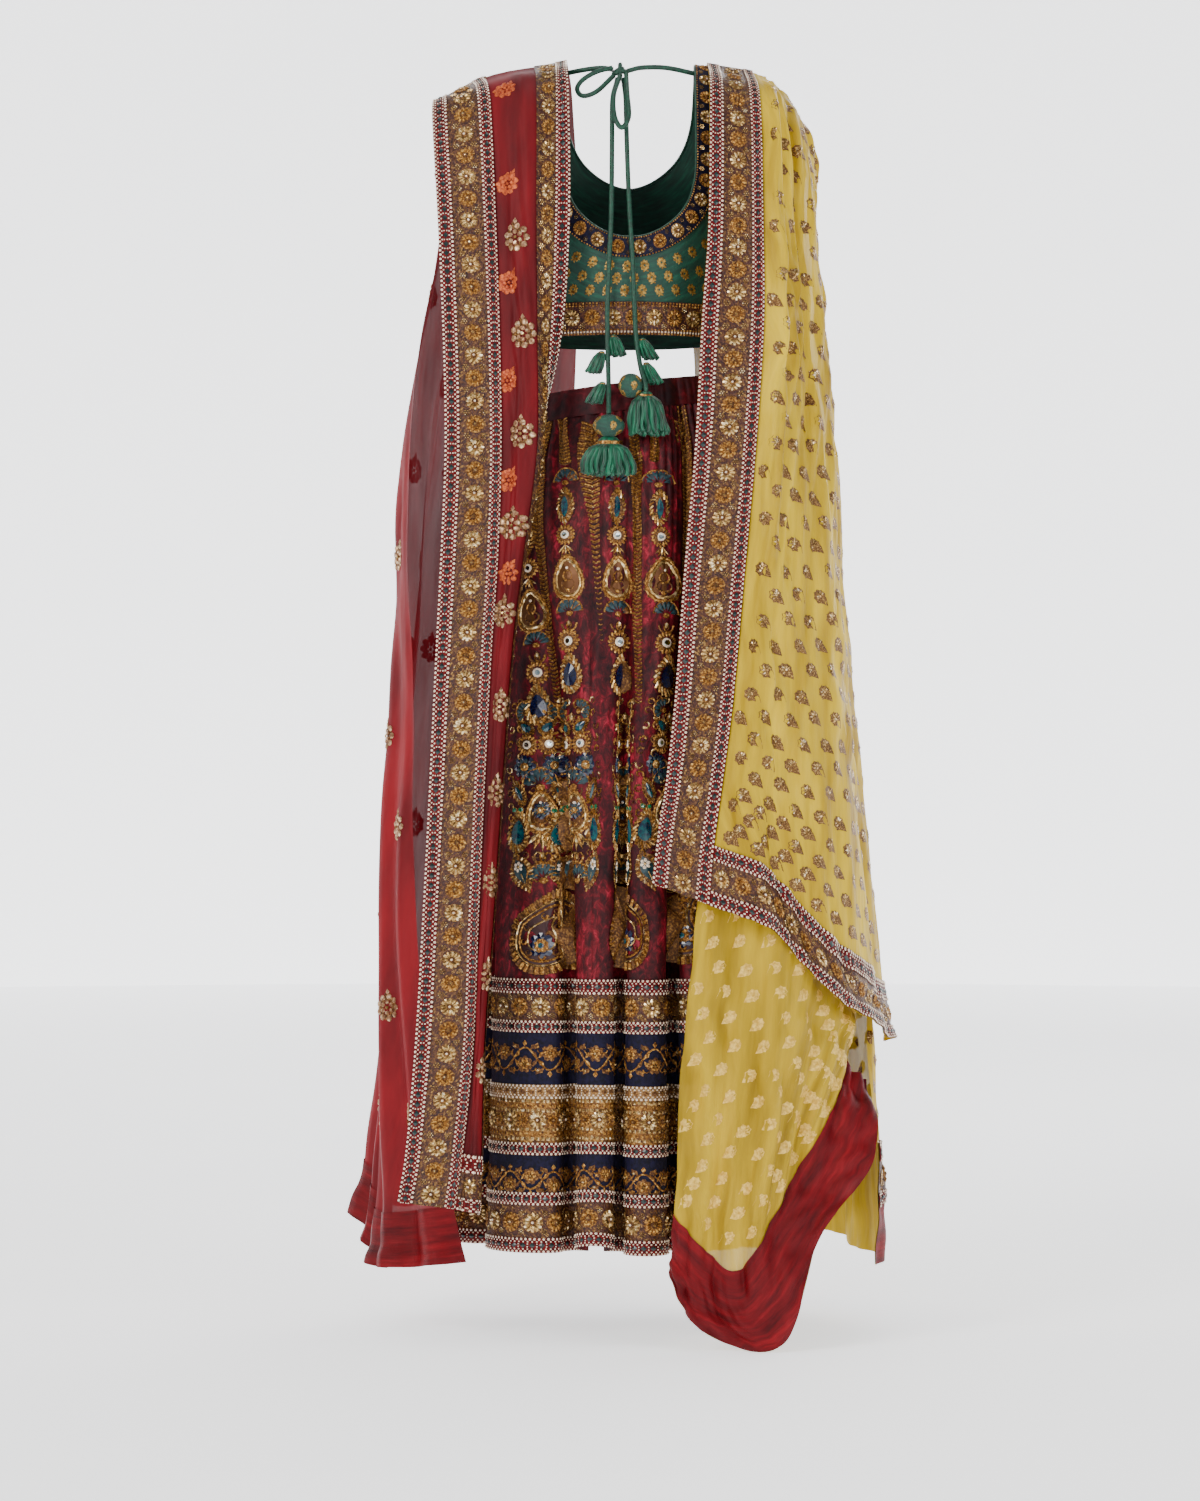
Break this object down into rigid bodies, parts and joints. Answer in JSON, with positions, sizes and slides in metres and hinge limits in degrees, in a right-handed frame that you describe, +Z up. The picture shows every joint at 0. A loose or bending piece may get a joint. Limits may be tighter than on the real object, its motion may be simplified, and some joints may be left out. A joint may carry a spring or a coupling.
{
  "type": "lehenga choli with two dupattas",
  "caption": "Green brocade choli with dori cords and tassels, crushed velvet lehenga with gold borders, and two sheer dupattas in net and chiffon, in their worn form.",
  "frame": {"origin": "on the middle of the wearer at the height of the shoulders", "axes": "+Z up, +Y the way the wearer faces, +X to the wearer's right"},
  "size_m": [0.6548, 0.4875, 1.5462],
  "materials": {
    "brocade": "woven silk with gold figures",
    "navy_band": "embroidered with sequins and beads",
    "velvet": "crushed",
    "gold_border": "sequin and bead embroidery",
    "net": "sheer net",
    "silk": "raw silk",
    "chiffon": "sheer crinkled",
    "cord": "rolled cloth",
    "floss": "silk floss"
  },
  "bodies": {
    "root": {"ball_left": "brocade", "ball_right": "brocade", "border_flowers_lower": "gold_border", "border_flowers_upper": "gold_border", "border_gold": "gold_border", "border_vine_lower": "navy_band", "border_vine_upper": "navy_band", "bow_loop": "cord", "chiffon_end_border": "gold_border", "chiffon_front": "chiffon", "chiffon_front_facing": "silk", "chiffon_lower": "chiffon", "chiffon_lower_facing": "silk", "chiffon_side_border": "gold_border", "chiffon_upper": "chiffon", "choli_back": "brocade", "choli_front": "brocade", "dori_knot": "brocade", "dori_left": "cord", "dori_right": "cord", "hanging_loop": "cord", "hem_band_back": "navy_band", "hem_band_front": "navy_band", "neck_band_back": "navy_band", "neck_band_front": "navy_band", "net_back": "net", "net_ball": "net", "net_end_border": "gold_border", "net_front": "net", "net_front_facing": "silk", "net_inner_border": "gold_border", "net_outer_border": "gold_border", "net_tassel": "net", "panel_01": "velvet", "panel_02": "velvet", "panel_03": "velvet", "panel_04": "velvet", "panel_05": "velvet", "panel_06": "velvet", "panel_07": "velvet", "panel_08": "velvet", "panel_09": "velvet", "panel_10": "velvet", "panel_11": "velvet", "panel_12": "velvet", "sleeve_band_left": "navy_band", "sleeve_band_right": "navy_band", "sleeve_left": "brocade", "sleeve_right": "brocade", "tail_left": "cord", "tail_right": "cord", "tassel_1": "floss", "tassel_2": "floss", "tassel_3": "floss", "tassel_4": "floss", "tassel_5": "floss", "tassel_left": "floss", "tassel_right": "floss", "waistband": "velvet"}
  },
  "joints": []
}
